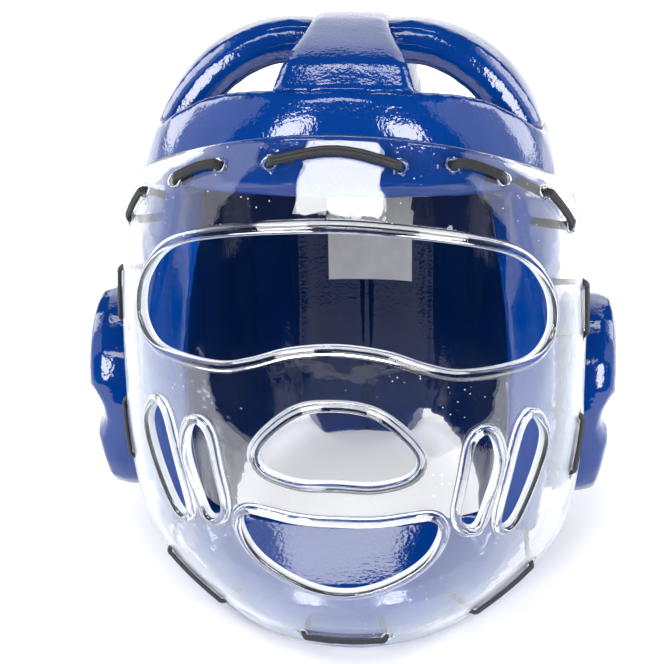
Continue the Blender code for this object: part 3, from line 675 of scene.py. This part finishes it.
def sheet_border():
    """Outline of the whole sheet with rounded corners, up its sides and across its edges."""
    ups = np.arange(1, BORDER_STEPS) / BORDER_STEPS
    acrosses = np.arange(BORDER_STEPS + 1) * 2 / BORDER_STEPS - 1
    border = [sheet_xy(u, 0.0) for u in acrosses]
    border += [sheet_xy(1.0, v) for v in ups]
    border += [sheet_xy(-u, 1.0) for u in acrosses]
    border += [sheet_xy(-1.0, v) for v in ups[::-1]]
    return border


def inside(point, outline):
    x, y = point[0], point[1]
    a = outline
    b = np.roll(outline, -1, axis=0)
    crosses = (a[:, 1] > y) != (b[:, 1] > y)
    rise = np.where(crosses, b[:, 1] - a[:, 1], 1.0)
    ahead = x < (b[:, 0] - a[:, 0]) * (y - a[:, 1]) / rise + a[:, 0]
    return np.count_nonzero(crosses & ahead) % 2 == 1


def distance_to(spots, outline):
    """Shortest distance from each spot to a closed line."""
    a = np.array(outline)
    ray = np.roll(a, -1, axis=0) - a
    best = np.full(len(spots), 1e9)
    for start, along in zip(a, ray):
        share = np.clip((spots - start) @ along / (along @ along), 0.0, 1.0)
        best = np.minimum(best, np.linalg.norm(spots - start - share[:, None] * along, axis=1))
    return best


def bead(distance, radius, height):
    """Height of a rounded rim at a distance from its edge."""
    offset = np.clip(np.abs(distance - radius) / radius, 0.0, 1.0)
    return height * np.sqrt(1 - offset ** 2)


def rounding(distance, radius):
    """How far a face falls away at a distance from a rounded edge."""
    offset = np.clip(1 - distance / radius, 0.0, 1.0)
    return min(radius, SHIELD_THICKNESS * 0.46) * (1 - np.sqrt(1 - offset ** 2))


def sheet_points(border, vents, holes):
    """Points of the flat sheet, and the edges of its outlines: outlines, rings by them, then a grid."""
    loops = [border] + vents + holes
    points = [tuple(p) for loop in loops for p in loop]
    edges = []
    first = 0
    for loop in loops:
        edges += [(first + i, first + (i + 1) % len(loop)) for i in range(len(loop))]
        first += len(loop)
    for share in BEAD_RINGS:
        for vent in vents:
            points += [tuple(p) for p in grown(vent, BEAD_RADIUS * share)]
    for share in EDGE_RINGS:
        points += [tuple(p) for p in grown(border, -EDGE_ROUND * share)]
    for share in HOLE_RINGS:
        for hole in holes:
            points += [tuple(p) for p in grown(hole, HOLE_ROUND * share)]
    taken = np.array(points)
    width, height = sheet_xy(1.0, 1.0)
    for y in np.arange(SHEET_STEP / 2, height, SHEET_STEP):
        for x in np.arange(-width + SHEET_STEP / 2, width, SHEET_STEP):
            if np.linalg.norm(taken - (x, y), axis=1).min() > SHEET_STEP * 0.7:
                points.append((x, y))
    return points, edges


def sheet_triangles(border, vents, holes):
    """Points of the flat sheet and the triangles between them, without those in its openings."""
    points, edges = sheet_points(border, vents, holes)
    flat, _, triangles, *_ = delaunay_2d_cdt([Vector(p) for p in points], edges, [], 0, 1e-5)
    rings = [np.array(loop) for loop in vents + holes]
    outer = np.array(border)
    kept = []
    for triangle in triangles:
        middle = sum((flat[i] for i in triangle), Vector((0, 0))) / 3
        if inside(middle, outer) and not any(inside(middle, ring) for ring in rings):
            kept.append(tuple(triangle))
    return np.array([tuple(p) for p in flat]), kept


def sheet_faces(spots, border, vents, holes):
    """Front and back of the sheet over its flat points, with rolled rims and rounded edges."""
    to_vent = np.min([distance_to(spots, vent) for vent in vents], axis=0)
    to_hole = np.min([distance_to(spots, hole) for hole in holes], axis=0)
    to_border = distance_to(spots, border)
    front, back = [], []
    for spot, near_vent, near_hole, near_border in zip(spots, to_vent, to_hole, to_border):
        u, v = sheet_uv(spot)
        out = shield_outward(u, v)
        place = shield_point(u, v)
        sunk = max(rounding(near_hole, HOLE_ROUND), rounding(near_border, EDGE_ROUND))
        front.append(place + out * (bead(near_vent, BEAD_RADIUS, BEAD_OUT) - sunk))
        back.append(place - out * (SHIELD_THICKNESS + bead(near_vent, BEAD_RADIUS, BEAD_IN) - sunk))
    return front, back


def face_shield():
    """The clear sheet: front, back, and the walls of its edge and openings, which are cut edges."""
    border = sheet_border()
    vents = shield_openings()
    holes = lace_holes()
    spots, kept = sheet_triangles(border, vents, holes)
    front, back = sheet_faces(spots, border, vents, holes)
    count = len(spots)
    faces = kept + [tuple(count + i for i in reversed(t)) for t in kept]
    used = {(a, b) for t in kept for a, b in zip(t, t[1:] + t[:1])}
    faces += [(b, a, count + a, count + b) for a, b in used if (b, a) not in used]
    vertices = front + back
    named = sorted({i for face in faces for i in face})
    order = {old: new for new, old in enumerate(named)}
    thing = mesh_object("shield", [vertices[i] for i in named], [tuple(order[i] for i in f) for f in faces])
    finish_piece(thing, clear_polycarbonate(), "face_shield")
    thing.data.materials.append(cut_edge())
    for polygon, face in zip(thing.data.polygons, faces):
        if len(face) == 4:
            polygon.material_index = 1


def foam_tree(things):
    """One search tree over foam pieces, in millimetres in the CAD's own zero."""
    vertices, faces = [], []
    for thing in things:
        base = len(vertices)
        vertices += [tuple(np.array(v.co) / MM - SHIFT) for v in thing.data.vertices]
        faces += [tuple(base + i for i in p.vertices) for p in thing.data.polygons]
    return BVHTree.FromPolygons(vertices, faces)


def lace_path(row, tree):
    """Centre line of a stitch: out of the foam, through a hole, over the shield and back."""
    _, u1, v1, u2, v2, bow = row
    lift = LACE_LIFT + LACE_THICKNESS / 2
    legs = []
    for u, v in ((u1, v1), (u2, v2)):
        out = shield_outward(u, v)
        start = shield_point(u, v)
        behind = start - out * SHIELD_THICKNESS
        place = np.array(tree.find_nearest(Vector(behind))[0])
        legs.append([(place, out), (behind, out), (start - out * LACE_SINK, out)])
    turn = LACE_THICKNESS * LACE_TURN / np.linalg.norm(shield_point(u2, v2) - shield_point(u1, v1))
    top = []
    for i in range(LACE_STEPS + 1):
        share = turn + (1 - 2 * turn) * i / LACE_STEPS
        u = u1 + (u2 - u1) * share
        v = v1 + (v2 - v1) * share + bow * math.sin(math.pi * share) / SHIELD_HEIGHT
        out = shield_outward(u, v)
        top.append((shield_point(u, v) + out * lift, out))
    return legs[0] + top + legs[1][::-1]


def open_curve(points, step):
    """Places a step apart along a smooth line through points, the points there, and its length."""
    points = [2 * points[0] - points[1]] + points + [2 * points[-1] - points[-2]]
    dense = []
    for k in range(1, len(points) - 2):
        a, b, c, d = points[k - 1:k + 3]
        for t in np.arange(12) / 12:
            dense.append(between(a, b, c, d, t))
    dense = np.array(dense + [points[-2]])
    lengths = np.concatenate(([0.0], np.cumsum(np.linalg.norm(np.diff(dense, axis=0), axis=1))))
    places = np.arange(0, lengths[-1], step)
    line = np.column_stack([np.interp(places, lengths, dense[:, i]) for i in range(3)])
    return places, line, lengths[-1]


def lace(row, tree, mat):
    """One stitch of flat elastic with ribs across it."""
    path = lace_path(row, tree)
    spots = [point for point, out in path]
    outs = np.array([out for point, out in path])
    chord = spots[-4] - spots[3]
    places, line, length = open_curve(spots, RIB_PITCH / 4)
    knots = np.concatenate(([0.0], np.cumsum([np.linalg.norm(b - a) for a, b in zip(spots, spots[1:])])))
    vertices = []
    for i, point in enumerate(line):
        along = line[min(i + 1, len(line) - 1)] - line[max(i - 1, 0)]
        along /= np.linalg.norm(along)
        share = places[i] / length * knots[-1]
        out = np.array([np.interp(share, knots, outs[:, k]) for k in range(3)])
        side = np.cross(out, chord)
        side -= along * np.dot(side, along)
        side /= np.linalg.norm(side)
        up = np.cross(along, side)
        rib = RIB_DEPTH * (math.cos(2 * math.pi * places[i] / RIB_PITCH) - 1)
        for j in range(LACE_SIDES):
            angle = 2 * math.pi * j / LACE_SIDES
            across = math.cos(angle)
            cord = 1 - CORD_DEPTH * (1 - math.cos(CORDS * math.pi * (across + 1) + math.pi)) / 2
            wide = (LACE_WIDTH / 2 + rib) * across
            bulge = math.copysign(abs(math.sin(angle)) ** LACE_FLATNESS, math.sin(angle))
            high = (LACE_THICKNESS / 2 + rib) * bulge * cord
            vertices.append(point + side * wide + up * high)
    count = len(line)
    faces = []
    for i in range(count - 1):
        here = i * LACE_SIDES
        ahead = here + LACE_SIDES
        for j in range(LACE_SIDES):
            k = (j + 1) % LACE_SIDES
            faces.append((here + j, here + k, ahead + k, ahead + j))
    faces.append(tuple(range(LACE_SIDES))[::-1])
    faces.append(tuple((count - 1) * LACE_SIDES + j for j in range(LACE_SIDES)))
    thing = mesh_object(f"elastic_{row[0]}", vertices, faces)
    finish_piece(thing, mat, f"lace_{row[0]}")


def build_foam(mat):
    shell = foam_piece("foam_shell", SHELL_NODES, SHELL_GROWTH, SHELL_VOXEL, SHELL_ROUNDS)
    carve_nape(shell)
    for vertex in shell.data.vertices:
        vertex.co.z = max(vertex.co.z, 0.0)
    finish_piece(shell, mat, *SHELL_NODES)
    strap = foam_piece(
        "crown_pad_middle", ("crown_strap",), SHELL_GROWTH, CROWN_VOXEL, CROWN_ROUNDS, tuck_strap
    )
    finish_piece(strap, mat, "crown_strap")
    things = [shell, strap]
    for word in ("left", "right"):
        arch = foam_piece(
            f"crown_pad_{word}", (f"crown_arch_{word}",), SHELL_GROWTH, CROWN_VOXEL, CROWN_ROUNDS, tuck_arch
        )
        finish_piece(arch, mat, f"crown_arch_{word}")
        things.append(arch)
        guard = foam_piece(f"ear_pad_{word}", (f"ear_guard_{word}",), EAR_GROWTH, EAR_VOXEL, EAR_ROUNDS)
        finish_piece(guard, mat, f"ear_guard_{word}")
        things.append(guard)
    return things


def softbox(name, place, target, size, radiance):
    """A rectangle of even light, as bright all over as its radiance, that the camera doesn't see."""
    light = bpy.data.lights.new(name, "AREA")
    light.shape = "RECTANGLE"
    light.size, light.size_y = size
    light.energy = radiance * math.pi * size[0] * size[1]
    thing = bpy.data.objects.new(name, light)
    thing.location = place
    thing.rotation_euler = (Vector(target) - Vector(place)).to_track_quat("-Z", "Y").to_euler()
    thing.visible_camera = False
    bpy.context.scene.collection.objects.link(thing)


def stage_sheet(name, corners, mat):
    mesh = bpy.data.meshes.new(name)
    mesh.from_pydata(corners, [], [tuple(range(len(corners)))])
    mesh.materials.append(mat)
    thing = add_object(name, mesh)
    return thing


def opal_acrylic():
    """Opal acrylic lit from below: matt, bright enough to fill the shadows, with a painted shadow where its
    glow fades under and round the guard.
    """
    mat, tree, shader = new_material("opal_acrylic")
    shader.inputs["Base Color"].default_value = linear("FAFAFA")
    shader.inputs["Roughness"].default_value = 0.9
    shader.inputs["Specular IOR Level"].default_value = 0.1
    shader.inputs["Emission Color"].default_value = linear("FFFFFF")
    place = add_node(tree, "ShaderNodeTexCoord").outputs["Object"]
    reach = add_node(tree, "ShaderNodeVectorMath", {"operation": "LENGTH"}, {"Vector": place})
    # Painted shadow: the emission fades from none at the middle, under the guard, to full further out
    glow = add_node(
        tree, "ShaderNodeMapRange", {"interpolation_type": "SMOOTHSTEP"}, {"Value": reach.outputs["Value"]},
        From_Min=GLOW_FROM, From_Max=GLOW_FULL, To_Min=0.0, To_Max=GLOW,
    )
    tree.links.new(glow.outputs["Result"], shader.inputs["Emission Strength"])
    return mat


def black_flag():
    """Black velvet laid before the camera, which keeps the front of the gloss free of haze."""
    mat, tree, shader = new_material("black_flag")
    shader.inputs["Base Color"].default_value = linear("050505")
    shader.inputs["Roughness"].default_value = 1.0
    shader.inputs["Specular IOR Level"].default_value = 0.0
    return mat


def studio():
    """A glowing white floor with a painted shadow where its glow fades under the guard, softboxes and
    cards behind, beside and over the guard, a small card inside it over the chin, and a black flag
    before it that shows only in the gloss."""
    far = FLOOR_REACH
    stage_sheet("floor", [(-far, -far, 0), (far, -far, 0), (far, far, 0), (-far, far, 0)], opal_acrylic())
    wide, spread = FLAG_NEAR_HALF_WIDTH, FLAG_FAR_HALF_WIDTH
    flag = stage_sheet("flag", [
        (-wide, -FLAG_NEAR, FLAG_LIFT), (-spread, -FLAG_FAR, FLAG_LIFT), (-spread, -FLAG_END, FLAG_LIFT),
        (spread, -FLAG_END, FLAG_LIFT), (spread, -FLAG_FAR, FLAG_LIFT), (wide, -FLAG_NEAR, FLAG_LIFT),
    ], black_flag())
    flag.visible_camera = False
    flag.visible_shadow = False
    world = bpy.data.worlds.new("studio")
    world.use_nodes = True
    world.node_tree.nodes["Background"].inputs["Color"].default_value = linear("FFFFFF")
    world.node_tree.nodes["Background"].inputs["Strength"].default_value = WORLD_STRENGTH
    bpy.context.scene.world = world
    for word, side in (("left", -1), ("right", 1)):
        for name, (x, y, z), target, size, radiance in LIGHT_PAIRS:
            softbox(f"{word}_{name}", (side * x, y, z), target, size, radiance)
    for light in SINGLE_LIGHTS:
        softbox(*light)
    bpy.context.scene.view_settings.view_transform = "Standard"


def camera():
    azimuth, elevation, roll = (math.radians(a) for a in (VIEW_AZIMUTH, VIEW_ELEVATION, VIEW_ROLL))
    back = Vector((
        math.sin(azimuth) * math.cos(elevation),
        -math.cos(azimuth) * math.cos(elevation),
        math.sin(elevation),
    ))
    right = (-back).cross(Vector((0, 0, 1))).normalized()
    up = right.cross(-back)
    turned_right = right * math.cos(roll) + up * math.sin(roll)
    turned_up = up * math.cos(roll) - right * math.sin(roll)
    lens = bpy.data.cameras.new("camera")
    lens.sensor_width = 36.0
    lens.lens = lens.sensor_width * VIEW_SCALE * VIEW_DISTANCE / PHOTO
    lens.shift_x = (PHOTO / 2 - VIEW_CENTRE_X) / PHOTO
    thing = bpy.data.objects.new("camera", lens)
    place = (Vector(VIEW_TARGET) + Vector(SHIFT) + back * VIEW_DISTANCE) * MM
    turn = Matrix((turned_right, turned_up, back)).transposed().to_4x4()
    thing.matrix_world = Matrix.Translation(place) @ turn
    bpy.context.scene.collection.objects.link(thing)
    bpy.context.scene.camera = thing


def build():
    camera()
    studio()
    foam = build_foam(dipped_vinyl())
    face_shield()
    tree = foam_tree(foam)
    elastic = black_elastic()
    for row in LACES:
        lace(row, tree, elastic)
    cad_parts["label_patch"].material_slots[0].material = woven_label()


build()
